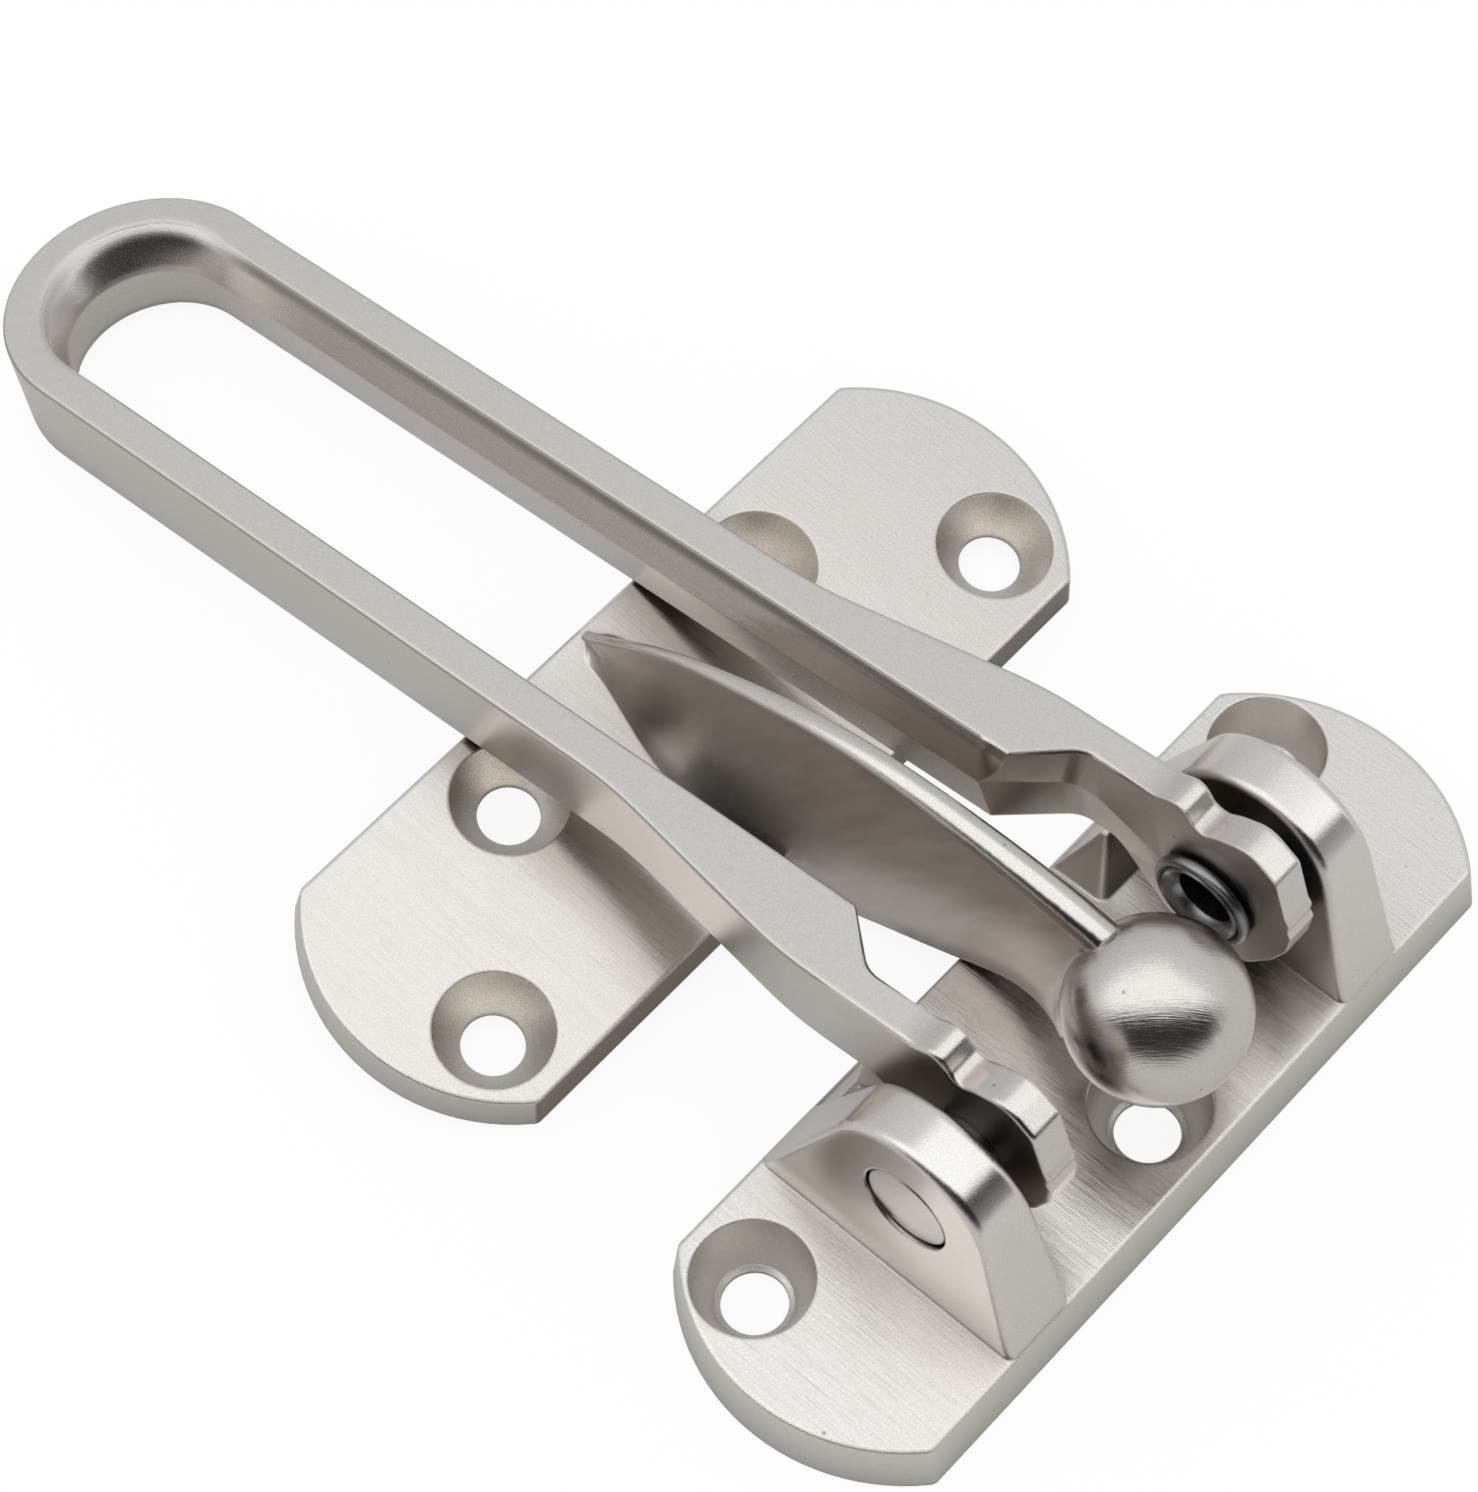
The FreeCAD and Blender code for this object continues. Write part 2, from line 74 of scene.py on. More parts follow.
def turned(tree, vector, axis, angle):
    """A vector turned about the X, Y or Z axis."""
    node = tree.nodes.new("ShaderNodeVectorRotate")
    node.rotation_type = axis + "_AXIS"
    node.inputs["Angle"].default_value = angle
    tree.links.new(vector, node.inputs["Vector"])
    return node.outputs[0]


def split(tree, vector):
    """The three parts of a vector."""
    node = tree.nodes.new("ShaderNodeSeparateXYZ")
    tree.links.new(vector, node.inputs[0])
    return node.outputs[0], node.outputs[1], node.outputs[2]


def ramp_between(tree, value, zero_at, one_at):
    """0 up to zero_at and 1 from one_at on, smooth between; either may be the larger."""
    node = tree.nodes.new("ShaderNodeMapRange")
    node.interpolation_type = "SMOOTHSTEP"
    node.inputs["From Min"].default_value = zero_at
    node.inputs["From Max"].default_value = one_at
    tree.links.new(value, node.inputs["Value"])
    return node.outputs["Result"]


def mix_value(tree, amount, under, over):
    """Mix of two numbers or sockets."""
    node = tree.nodes.new("ShaderNodeMix")
    for place, value in ((0, amount), (2, under), (3, over)):
        feed(tree, node.inputs[place], value)
    return node.outputs[0]


def mix_colour(tree, amount, under, over):
    """Colour mix; under and over are colours or sockets."""
    node = tree.nodes.new("ShaderNodeMix")
    node.data_type = "RGBA"
    feed(tree, node.inputs[0], amount)
    for place, colour in ((6, under), (7, over)):
        feed(tree, node.inputs[place], (*colour, 1.0) if isinstance(colour, tuple) else colour)
    return node.outputs[2]


def noise_at(tree, place, scale, detail):
    """Noise, about 0.5 on average, at a place."""
    node = tree.nodes.new("ShaderNodeTexNoise")
    node.inputs["Scale"].default_value = scale
    node.inputs["Detail"].default_value = detail
    tree.links.new(place, node.inputs["Vector"])
    return node.outputs["Fac"]


def brushing_group():
    """Fine hairlines: long thin streaks along X of the incoming place, in millimetres."""
    group, start, end = new_group(
        "hairline brushing",
        [("Place", "NodeSocketVector", None), ("Streak Length", "NodeSocketFloat", 5.0),
         ("Streak Width", "NodeSocketFloat", 0.10)],
        [("Lines", "NodeSocketFloat"), ("Coarse Lines", "NodeSocketFloat")])
    along, across, deep = split(group, start.outputs["Place"])
    for name, widening in (("Lines", 1.0), ("Coarse Lines", 4.0)):
        width = times(group, start.outputs["Streak Width"], widening)
        joined = group.nodes.new("ShaderNodeCombineXYZ")
        group.links.new(math_node(group, "DIVIDE", along, start.outputs["Streak Length"]), joined.inputs[0])
        group.links.new(math_node(group, "DIVIDE", across, width), joined.inputs[1])
        group.links.new(deep, joined.inputs[2])
        group.links.new(noise_at(group, joined.outputs[0], scale=1.0, detail=2.0), end.inputs[name])
    return group


def casting_group():
    """Cast skin under the plating: fine grain, slow unevenness and a few small pits."""
    group, start, end = new_group(
        "casting skin",
        [("Place", "NodeSocketVector", None), ("Grain Size", "NodeSocketFloat", 0.12)],
        [("Grain", "NodeSocketFloat"), ("Waves", "NodeSocketFloat"), ("Pits", "NodeSocketFloat")])
    divided = vector_node(group, "DIVIDE", start.outputs["Place"], start.outputs["Grain Size"])
    cells = group.nodes.new("ShaderNodeTexVoronoi")
    cells.inputs["Scale"].default_value = 0.35
    group.links.new(start.outputs["Place"], cells.inputs["Vector"])
    chosen = ramp_between(group, split(group, cells.outputs["Color"])[0], 0.78, 0.82)
    near_middle = ramp_between(group, cells.outputs["Distance"], 0.08, 0.03)
    group.links.new(noise_at(group, divided.outputs[0], scale=1.0, detail=3.0), end.inputs["Grain"])
    group.links.new(noise_at(group, start.outputs["Place"], scale=0.12, detail=1.0), end.inputs["Waves"])
    group.links.new(times(group, chosen, near_middle), end.inputs["Pits"])
    return group


def recess_group():
    """How far a spot is shut in by its surroundings, for the painted shade in hollows."""
    group, start, end = new_group(
        "recess shade",
        [("Reach", "NodeSocketFloat", 0.006)],
        [("Recess", "NodeSocketFloat")])
    shade = group.nodes.new("ShaderNodeAmbientOcclusion")
    shade.samples = 8
    group.links.new(start.outputs["Reach"], shade.inputs["Distance"])
    group.links.new(math_node(group, "SUBTRACT", 1.0, shade.outputs["AO"], clamp=True), end.inputs["Recess"])
    return group


def edges_group():
    """Softened edges: the rounded normal, and a mask of where it turns."""
    group, start, end = new_group(
        "softened edges",
        [("Radius", "NodeSocketFloat", 0.0003)],
        [("Normal", "NodeSocketVector"), ("Edge", "NodeSocketFloat")])
    bevel = group.nodes.new("ShaderNodeBevel")
    bevel.samples = 4
    group.links.new(start.outputs["Radius"], bevel.inputs["Radius"])
    surface = group.nodes.new("ShaderNodeNewGeometry")
    likeness = vector_node(group, "DOT_PRODUCT", bevel.outputs["Normal"], surface.outputs["Normal"])
    group.links.new(bevel.outputs["Normal"], end.inputs["Normal"])
    group.links.new(ramp_between(group, likeness.outputs["Value"], 0.995, 0.93), end.inputs["Edge"])
    return group


BRUSHING = brushing_group()
CASTING = casting_group()
RECESS = recess_group()
EDGES = edges_group()


def place_group(tree, group, links=(), **values):
    """One use of a shader group, with its own values."""
    node = tree.nodes.new("ShaderNodeGroup")
    node.node_tree = group
    for name, value in values.items():
        node.inputs[name.replace("_", " ")].default_value = value
    for name, socket in links:
        tree.links.new(socket, node.inputs[name])
    return node


def place_in_mm(tree, origin=(0, 0, 0), turn_y=0.0):
    """Place in millimetres from origin, and normal, both turned about Y to lie along the piece."""
    coords = tree.nodes.new("ShaderNodeTexCoord")
    shifted = vector_node(tree, "SUBTRACT", coords.outputs["Object"], origin)
    lying = turned(tree, shifted.outputs[0], "Y", turn_y)
    place = vector_node(tree, "MULTIPLY", lying, (MM_PER_M, MM_PER_M, MM_PER_M))
    return place.outputs[0], turned(tree, coords.outputs["Normal"], "Y", turn_y)


def new_metal(name):
    """A material with a plain metallic Principled BSDF; gives back material, tree and shader."""
    material = bpy.data.materials.new(name)
    material.use_nodes = True
    shader = material.node_tree.nodes["Principled BSDF"]
    shader.inputs["Metallic"].default_value = 1.0
    return material, material.node_tree, shader


def finish_surface(tree, shader, colour, roughness, height, depth, normal):
    """Joins colour, roughness and a bump height over the softened normal to the shader."""
    tree.links.new(colour, shader.inputs["Base Color"])
    tree.links.new(roughness, shader.inputs["Roughness"])
    bump = tree.nodes.new("ShaderNodeBump")
    bump.inputs["Distance"].default_value = depth
    tree.links.new(height, bump.inputs["Height"])
    tree.links.new(normal, bump.inputs["Normal"])
    tree.links.new(bump.outputs["Normal"], shader.inputs["Normal"])


def wear(node, material):
    """Gives a CAD piece its material."""
    for slot in node.material_slots:
        slot.material = material


def plated(tree, skin, shut, dull, bright, lines=None, scratched=None):
    """Satin nickel tone: grain, pits and patchy hairlines over the base, with painted brown shade in hollows.
    """
    tone = mix_colour(tree, ramp_between(tree, skin.outputs["Grain"], *GRAIN_SPAN), dull, bright)
    if lines is not None:
        patches = mix_value(tree, ramp_between(tree, skin.outputs["Waves"], *PATCH_SPAN), FAINT_PATCH, 1.0)
        streaks = ramp_between(tree, lines.outputs["Lines"], *LINE_SPAN)
        tone = mix_colour(tree, times(tree, streaks, scratched, patches), tone, SCRATCH)
    tone = mix_colour(tree, times(tree, skin.outputs["Pits"], PIT_SHARE), tone, PIT_AND_SHADE_DARK)
    return mix_colour(tree, shut, tone, PIT_AND_SHADE_DARK)


def painted_edge_highlights(tree, colour, edges, hollow):
    """Painted highlight: a brighter tone along outer edges; corners that lie in a recess keep theirs."""
    outer = math_node(tree, "MULTIPLY_ADD", hollow.outputs["Recess"], -RECESS_FADE, 1.0, clamp=True)
    return mix_colour(tree, times(tree, edges.outputs["Edge"], EDGE_HIGHLIGHT_SHARE, outer), colour, EDGE_HIGHLIGHT_PAINT)


def plate_masks(tree, nz, pz, face_z, seat_z):
    """Where the brushed face, the screw cones and the screw seats of a plate are."""
    level = ramp_between(tree, nz, 0.96, 0.995)
    under_lugs = ramp_between(tree, pz, face_z + 0.3, face_z + 0.1)
    over_seats = ramp_between(tree, pz, face_z - 1.2, face_z - 0.4)
    sloping = times(tree, ramp_between(tree, nz, 0.35, 0.5), ramp_between(tree, nz, 0.97, 0.9))
    sunk = ramp_between(tree, pz, face_z + 0.05, face_z - 0.05)
    deep = ramp_between(tree, pz, seat_z + 0.2, seat_z + 0.05)
    nearly_level = ramp_between(tree, nz, 0.8, 0.95)
    face = times(tree, level, under_lugs, over_seats)
    return face, times(tree, sloping, sunk), times(tree, deep, nearly_level)


def painted_hole_light(tree, skin, colour, cone, seat):
    """Painted light: a lighter tone on a plate's screw cones and screw seats, with a random darker grain on
    the cones.
    """
    cone_light = mix_colour(tree, ramp_between(tree, skin.outputs["Grain"], *SPOT_SPAN), CONE_PAINTED_DULL, CONE_PAINTED_LIGHT)
    colour = mix_colour(tree, times(tree, cone, CONE_LIGHT_SHARE), colour, cone_light)
    return mix_colour(tree, seat, colour, SEAT_PAINTED_LIGHT)


def rough_holes(tree, rough, cone, seat):
    """Roughness of a plate's screw cones and screw seats."""
    return mix_value(tree, seat, mix_value(tree, cone, rough, CONE_ROUGH), SEAT_ROUGH)


MM_PER_M = 1000
EDGE_HIGHLIGHT_PAINT = (0.95, 0.925, 0.89)
EDGE_HIGHLIGHT_SHARE = 0.5
RECESS_FADE = 2.5
PLATE_DULL = (0.77, 0.735, 0.69)
PLATE_BRIGHT = (0.87, 0.835, 0.79)
SEAT_PAINTED_LIGHT = (0.88, 0.86, 0.82)
SEAT_ROUGH = 0.5
CONE_PAINTED_LIGHT = (0.97, 0.93, 0.86)
CONE_PAINTED_DULL = (0.73, 0.67, 0.59)
CONE_LIGHT_SHARE = 0.8
CONE_ROUGH = 0.28
SPOT_SPAN = (0.35, 0.62)
LUG_SHADE = (0.41, 0.375, 0.33)
SCRATCH = (0.52, 0.49, 0.45)
PIT_AND_SHADE_DARK = (0.20, 0.165, 0.14)
GRAIN_SPAN = (0.32, 0.68)
PATCH_SPAN = (0.35, 0.65)
FAINT_PATCH = 0.3
LINE_SPAN = (0.50, 0.75)
LINE_SHARE = 0.5
LINE_HEIGHT = 0.8
GRAIN_HEIGHT = 0.3
PIT_SHARE = 0.6
RECESS_SHADE_SHARE = 0.9
FACE_SHADE_SHARE = 0.5
CONE_SHADE_SHARE = 0.25
BUMP_DEPTH = 0.00002
PLATE_FACE_Z = 4.84
PLATE_SEAT_Z = 0.6
CREST_RISE = (6.0, 10.0)
CREST_ROUGH = 0.17
LUG_SIDE_RISE = (5.5, 8.0)
LUG_SIDE_FADE = (5.0, -6.0)
PLATE_EDGE_ROUGH = 0.14

plate_nickel, tree, shader = new_metal("plate satin nickel")
place, facing = place_in_mm(tree)
px, _, pz = split(tree, place)
_, ny, nz = split(tree, facing)
lines = place_group(tree, BRUSHING, [("Place", place)])
skin = place_group(tree, CASTING, [("Place", place)])
hollow = place_group(tree, RECESS, Reach=0.006)
edges = place_group(tree, EDGES, Radius=0.00035)
face, cone, seat = plate_masks(tree, nz, pz, PLATE_FACE_Z, PLATE_SEAT_Z)
sideways = math_node(tree, "ABSOLUTE", ny)
crest = times(tree, ramp_between(tree, pz, *CREST_RISE), ramp_between(tree, sideways, 0.6, 0.3))
# Painted shade on the outer sides of the lugs.
lug_side = times(tree, ramp_between(tree, sideways, 0.85, 0.95), ramp_between(tree, pz, *LUG_SIDE_RISE),
                 ramp_between(tree, px, *LUG_SIDE_FADE))
# Painted shade: hollows darken toward a dark brown, less on the brushed face and in the cones, not in the
# seats.
shut = times(tree, hollow.outputs["Recess"], RECESS_SHADE_SHARE)
shut = mix_value(tree, face, shut, times(tree, shut, FACE_SHADE_SHARE))
shut = mix_value(tree, cone, shut, times(tree, shut, CONE_SHADE_SHARE))
shut = mix_value(tree, seat, shut, 0.0)
colour = plated(tree, skin, shut, PLATE_DULL, PLATE_BRIGHT, lines, times(tree, face, LINE_SHARE))
colour = mix_colour(tree, lug_side, colour, LUG_SHADE)
colour = painted_hole_light(tree, skin, colour, cone, seat)
colour = painted_edge_highlights(tree, colour, edges, hollow)
rough = mix_value(tree, face, varied(tree, skin.outputs["Grain"], least=0.24, growth=0.12),
                  varied(tree, lines.outputs["Coarse Lines"], least=0.13, growth=0.24))
rough = mix_value(tree, crest, rough, CREST_ROUGH)
rough = rough_holes(tree, rough, cone, seat)
rough = mix_value(tree, edges.outputs["Edge"], rough, PLATE_EDGE_ROUGH)
height = math_node(tree, "ADD", times(tree, lines.outputs["Lines"], times(tree, face, LINE_HEIGHT)),
                   times(tree, skin.outputs["Grain"], GRAIN_HEIGHT))
height = math_node(tree, "MULTIPLY_ADD", math_node(tree, "ADD", seat, cone), skin.outputs["Grain"], height)
finish_surface(tree, shader, colour, rough, height, BUMP_DEPTH, edges.outputs["Normal"])
wear(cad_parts["bar_plate"], plate_nickel)


# Swing bar: one casting in the same satin nickel, with a matt skin on its upper side.
# Its slot walls are smoother, and the lip round the slot is rolled over.

PIVOT = (0.0016, 0.0, 0.0152)
REST_DROP = math.radians(7.4)
FAR_END = 104.0
BAR_TOP = 8.92
PAST_HIPS = (-17.0, -19.0)
END_BEND = (-98.0, -106.0)
INSIDE_SLOT = (10.4, 10.0)
OUTSIDE_SLOT = (9.6, 10.4)
OUTSIDE_LIP = (10.4, 10.8)
LIP_DEPTH = 4.2
ARM_LEAN = 0.88
END_LEAN = 1.2
OUTER_EDGE_R = 0.0003
ARM_LIP_R = 0.00015
END_LIP_R = 0.0012
ARM_LIP_SHADE = 0.85
END_LIP_SHADE = 0.3
SHADED_RIM = (0.23, 0.21, 0.19)
RIM_SHARE = 0.6
RIM_START = (-12.0, -14.0)
UNDER_LIP = (0.5, 0.85)
OPEN_SHADE_SHARE = 0.8
SLOT_SHADE_SHARE = 0.4
NICKEL_DULL = (0.69, 0.655, 0.61)
NICKEL_BRIGHT = (0.79, 0.755, 0.71)
CAST_ROUGH = 0.12
OUTER_WALL_ROUGH = 0.26
SLOT_ROUGH = 0.22
MATT_ROUGH = 0.42
MATT_START = (-5.0, -7.0)
GRAIN_ROUGH = 0.08
BAR_EDGE_ROUGH = 0.16
SLOT_EDGE_ROUGH = 0.30
BAR_GRAIN_HEIGHT = 0.5

bar_nickel, tree, shader = new_metal("bar satin nickel")
place, facing = place_in_mm(tree, PIVOT, REST_DROP)
px, py, pz = split(tree, place)
_, ny, nz = split(tree, facing)
skin = place_group(tree, CASTING, [("Place", place)])
hollow = place_group(tree, RECESS, Reach=0.006)
past_end = math_node(tree, "MAXIMUM", math_node(tree, "SUBTRACT", -FAR_END, px), 0.0)
square = math_node(tree, "MULTIPLY_ADD", past_end, past_end, times(tree, py, py))
from_middle = math_node(tree, "SQRT", square)
slot = times(tree, ramp_between(tree, from_middle, *INSIDE_SLOT), ramp_between(tree, px, *PAST_HIPS))
at_end = ramp_between(tree, px, *END_BEND)
lip_radius = mix_value(tree, at_end, ARM_LIP_R, END_LIP_R)
edges = place_group(tree, EDGES, [("Radius", mix_value(tree, slot, OUTER_EDGE_R, lip_radius))])
near_top = math_node(tree, "MULTIPLY_ADD", pz, 1 / LIP_DEPTH, 1 - BAR_TOP / LIP_DEPTH, clamp=True)
lip = times(tree, slot, ramp_between(tree, nz, 0.95, 0.8), near_top)
upward = tree.nodes.new("ShaderNodeCombineXYZ")
tree.links.new(times(tree, lip, mix_value(tree, at_end, ARM_LEAN, END_LEAN)), upward.inputs[2])
leaned = vector_node(tree, "ADD", edges.outputs["Normal"], upward.outputs[0])
rolled = vector_node(tree, "NORMALIZE", leaned.outputs[0])
matt = times(tree, ramp_between(tree, nz, 0.85, 0.97), ramp_between(tree, px, *MATT_START))
outer_wall = times(tree, ramp_between(tree, math_node(tree, "ABSOLUTE", ny), 0.93, 0.99),
                   ramp_between(tree, from_middle, *OUTSIDE_SLOT))
sloping = times(tree, ramp_between(tree, nz, 0.2, 0.35), ramp_between(tree, nz, 0.9, 0.75))
around_slot = times(tree, ramp_between(tree, from_middle, *OUTSIDE_LIP), ramp_between(tree, px, *RIM_START))
rim = times(tree, sloping, around_slot)
# Painted shade: hollows darken toward a dark brown, less inside the slot.
shut = times(tree, hollow.outputs["Recess"], mix_value(tree, slot, OPEN_SHADE_SHARE, SLOT_SHADE_SHARE))
colour = plated(tree, skin, shut, NICKEL_DULL, NICKEL_BRIGHT)
# Painted shade on the sloping rim round the slot, and in a band under the slot lip.
colour = mix_colour(tree, times(tree, rim, RIM_SHARE), colour, SHADED_RIM)
lip_shade = mix_value(tree, at_end, ARM_LIP_SHADE, END_LIP_SHADE)
under_lip = times(tree, ramp_between(tree, lip, *UNDER_LIP), lip_shade)
colour = mix_colour(tree, under_lip, colour, SHADED_RIM)
colour = painted_edge_highlights(tree, colour, edges, hollow)
rough = mix_value(tree, outer_wall, CAST_ROUGH, OUTER_WALL_ROUGH)
rough = mix_value(tree, slot, rough, SLOT_ROUGH)
rough = mix_value(tree, matt, rough, MATT_ROUGH)
rough = math_node(tree, "MULTIPLY_ADD", skin.outputs["Grain"], GRAIN_ROUGH, rough)
edge_rough = mix_value(tree, slot, BAR_EDGE_ROUGH, SLOT_EDGE_ROUGH)
rough = mix_value(tree, edges.outputs["Edge"], rough, edge_rough)
height = times(tree, skin.outputs["Grain"], BAR_GRAIN_HEIGHT)
finish_surface(tree, shader, colour, rough, height, BUMP_DEPTH, rolled.outputs[0])
wear(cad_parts["swing_bar"], bar_nickel)


# Pivot rivets: a flat nickel head in each lug, and a darker steel hollow end rolled over, with painted shade
# in its hollow.
# Their bump is finer than that of the castings.

RIVET_STEEL = (0.40, 0.40, 0.41)
HEAD_NICKEL = (0.66, 0.63, 0.595)
RIVET_HOLLOW_SHADE = (0.05, 0.045, 0.04)
HEAD_START = (17.0, 18.0)
RIVET_BUMP_DEPTH = 0.000008

rivet_steel, tree, shader = new_metal("rivet steel")
place, _ = place_in_mm(tree, PIVOT)
skin = place_group(tree, CASTING, [("Place", place)], Grain_Size=0.08)
hollow = place_group(tree, RECESS, Reach=0.004)
edges = place_group(tree, EDGES, Radius=0.00015)
_, py, _ = split(tree, place)
head = ramp_between(tree, math_node(tree, "ABSOLUTE", py), *HEAD_START)
steel = mix_colour(tree, head, RIVET_STEEL, HEAD_NICKEL)
# Painted shade: the rivet darkens to near black where it is hollow.
colour = mix_colour(tree, hollow.outputs["Recess"], steel, RIVET_HOLLOW_SHADE)
rough = varied(tree, skin.outputs["Grain"], least=0.22, growth=0.12)
height = skin.outputs["Grain"]
finish_surface(tree, shader, colour, rough, height, RIVET_BUMP_DEPTH, edges.outputs["Normal"])
for side in ("left", "right"):
    wear(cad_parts[side + "_pivot_rivet"], rivet_steel)


# Keeper: a casting with a brushed plate, a streaked web under a bead rib, and a ball with fine scuffs; the
# web's dark tone and its lighter band are painted shade and painted light.
# It has four countersunk screw holes, and lies here tipped forward on its front edge.

KEEPER_AT = (-0.04207, 0.00158, 0.0021)
KEEPER_TIP = math.radians(-9.2)
KEEPER_FACE_Z = 3.5
KEEPER_SEAT_Z = 0.4
BALL = (44.5, 0.0, 21.87)
BALL_R = 7.21
SCUFF_TURN = math.radians(-42)
WEB_STREAK_TURN = math.radians(60)
WEB_PAINTED_SHADE = (0.38, 0.32, 0.27)
WEB_PAINTED_LIGHT = (0.78, 0.72, 0.66)
WEB_FOOT_SLOPE = 0.69
WEB_FOOT_SHIFT = 11.1
LIT_FROM_FOOT = (-1.0, 1.5)
LIT_TO_RIB = (11.0, 3.5)
LIT_FRONT = (6.0, 18.0)
LIT_REAR = (16.0, 2.0)
REAR_SHARE = 0.65
LIT_SHARE = 0.8
STREAK_SHARE = 0.5
STREAK_FLOOR = 0.12
CREVICE_SPAN = (0.15, 0.6)
FRONT_SHADE_SHARE = 0.95
WEB_ROUGH = 0.15
FLANK_ROUGH = 0.48
KEEPER_CONE_SHADE_SHARE = 0.2
KEEPER_LINE_SHARE = 0.25
KEEPER_LINE_HEIGHT = 0.4
KEEPER_GRAIN_HEIGHT = 0.15
WEB_GRAIN_HEIGHT = 0.05
SCUFF_HEIGHT = 0.9

keeper_nickel, tree, shader = new_metal("keeper satin nickel")
place, facing = place_in_mm(tree, KEEPER_AT, KEEPER_TIP)
px, _, pz = split(tree, place)
nx, ny, nz = split(tree, facing)
lines = place_group(tree, BRUSHING, [("Place", place)])
skin = place_group(tree, CASTING, [("Place", place)])
hollow = place_group(tree, RECESS, Reach=0.008)
crevice = place_group(tree, RECESS, Reach=0.0012)
edges = place_group(tree, EDGES, Radius=0.00035)
face, cone, seat = plate_masks(tree, nz, pz, KEEPER_FACE_Z, KEEPER_SEAT_Z)
from_ball = vector_node(tree, "DISTANCE", place, BALL)
ball = ramp_between(tree, from_ball.outputs["Value"], BALL_R + 0.25, BALL_R + 0.1)
across = turned(tree, place, "Z", SCUFF_TURN)
scuffs = place_group(tree, BRUSHING, [("Place", across)], Streak_Length=2.0, Streak_Width=0.09)
flattened = vector_node(tree, "MULTIPLY", turned(tree, place, "Y", WEB_STREAK_TURN), (1, 0, 1))
up_web = turned(tree, flattened.outputs[0], "X", math.radians(90))
web_streaks = place_group(tree, BRUSHING, [("Place", up_web)], Streak_Length=7.0, Streak_Width=0.35)
web = times(tree, ramp_between(tree, pz, KEEPER_FACE_Z + 0.6, KEEPER_FACE_Z + 2.0),
            ramp_between(tree, ball, 1.0, 0.0))
flank = times(tree, web, ramp_between(tree, math_node(tree, "ABSOLUTE", ny), 0.6, 0.9),
              ramp_between(tree, nz, 0.6, 0.1))
# Painted light: a lit band along the web above its foot at the front, and a paler rear.
above_foot = math_node(tree, "ADD", math_node(tree, "MULTIPLY_ADD", px, -WEB_FOOT_SLOPE, pz), WEB_FOOT_SHIFT)
lit_front = times(tree, ramp_between(tree, above_foot, *LIT_FROM_FOOT),
                  ramp_between(tree, above_foot, *LIT_TO_RIB), ramp_between(tree, px, *LIT_FRONT))
lit_rear = times(tree, ramp_between(tree, px, *LIT_REAR), REAR_SHARE)
lit = math_node(tree, "MAXIMUM", lit_front, lit_rear)
# Painted shade on the keeper's front side, below the plate's face.
front_side_shade = times(tree, ramp_between(tree, nx, 0.8, 0.95),
                   ramp_between(tree, pz, KEEPER_FACE_Z, KEEPER_FACE_Z - 0.4))
# Painted shade: hollows darken toward a dark brown, less in the cones, not in the seats.
shut = times(tree, hollow.outputs["Recess"], RECESS_SHADE_SHARE)
shut = mix_value(tree, cone, shut, times(tree, shut, KEEPER_CONE_SHADE_SHARE))
shut = mix_value(tree, seat, shut, 0.0)
scratched = times(tree, face, KEEPER_LINE_SHARE)
colour = plated(tree, skin, shut, NICKEL_DULL, NICKEL_BRIGHT, lines, scratched)
# Painted shade and painted light on the web: dark brown, lighter along the lit band and the streaks.
streaky = math_node(tree, "MULTIPLY_ADD", web_streaks.outputs["Coarse Lines"], STREAK_SHARE,
                    times(tree, lit, LIT_SHARE))
brightness = math_node(tree, "SUBTRACT", streaky, STREAK_FLOOR, clamp=True)
web_shade_and_light = mix_colour(tree, brightness, WEB_PAINTED_SHADE, WEB_PAINTED_LIGHT)
colour = mix_colour(tree, flank, colour, web_shade_and_light)
# Painted shade in narrow crevices on the web, as under the bead rib.
crevice_shade = times(tree, web, ramp_between(tree, crevice.outputs["Recess"], *CREVICE_SPAN))
colour = mix_colour(tree, crevice_shade, colour, PIT_AND_SHADE_DARK)
colour = mix_colour(tree, times(tree, front_side_shade, FRONT_SHADE_SHARE), colour, PIT_AND_SHADE_DARK)
colour = painted_hole_light(tree, skin, colour, cone, seat)
colour = painted_edge_highlights(tree, colour, edges, hollow)
rough = mix_value(tree, face, varied(tree, skin.outputs["Grain"], least=0.16, growth=0.06),
                  varied(tree, lines.outputs["Coarse Lines"], least=0.13, growth=0.18))
rough = mix_value(tree, web, rough, WEB_ROUGH)
rough = mix_value(tree, flank, rough, FLANK_ROUGH)
rough = mix_value(tree, ball, rough, varied(tree, scuffs.outputs["Lines"], least=0.12, growth=0.22))
rough = rough_holes(tree, rough, cone, seat)
grain_height = mix_value(tree, web, KEEPER_GRAIN_HEIGHT, WEB_GRAIN_HEIGHT)
height = math_node(tree, "ADD", times(tree, lines.outputs["Lines"], times(tree, face, KEEPER_LINE_HEIGHT)),
                   times(tree, skin.outputs["Grain"], grain_height))
height = math_node(tree, "MULTIPLY_ADD", math_node(tree, "ADD", seat, cone), skin.outputs["Grain"], height)
height = math_node(tree, "MULTIPLY_ADD", scuffs.outputs["Lines"], times(tree, ball, SCUFF_HEIGHT), height)
finish_surface(tree, shader, colour, rough, height, BUMP_DEPTH, edges.outputs["Normal"])
wear(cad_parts["keeper"], keeper_nickel)


# Floor: a plain white studio table that keeps the soft shadow of the guard.
# It isn't part of the object.

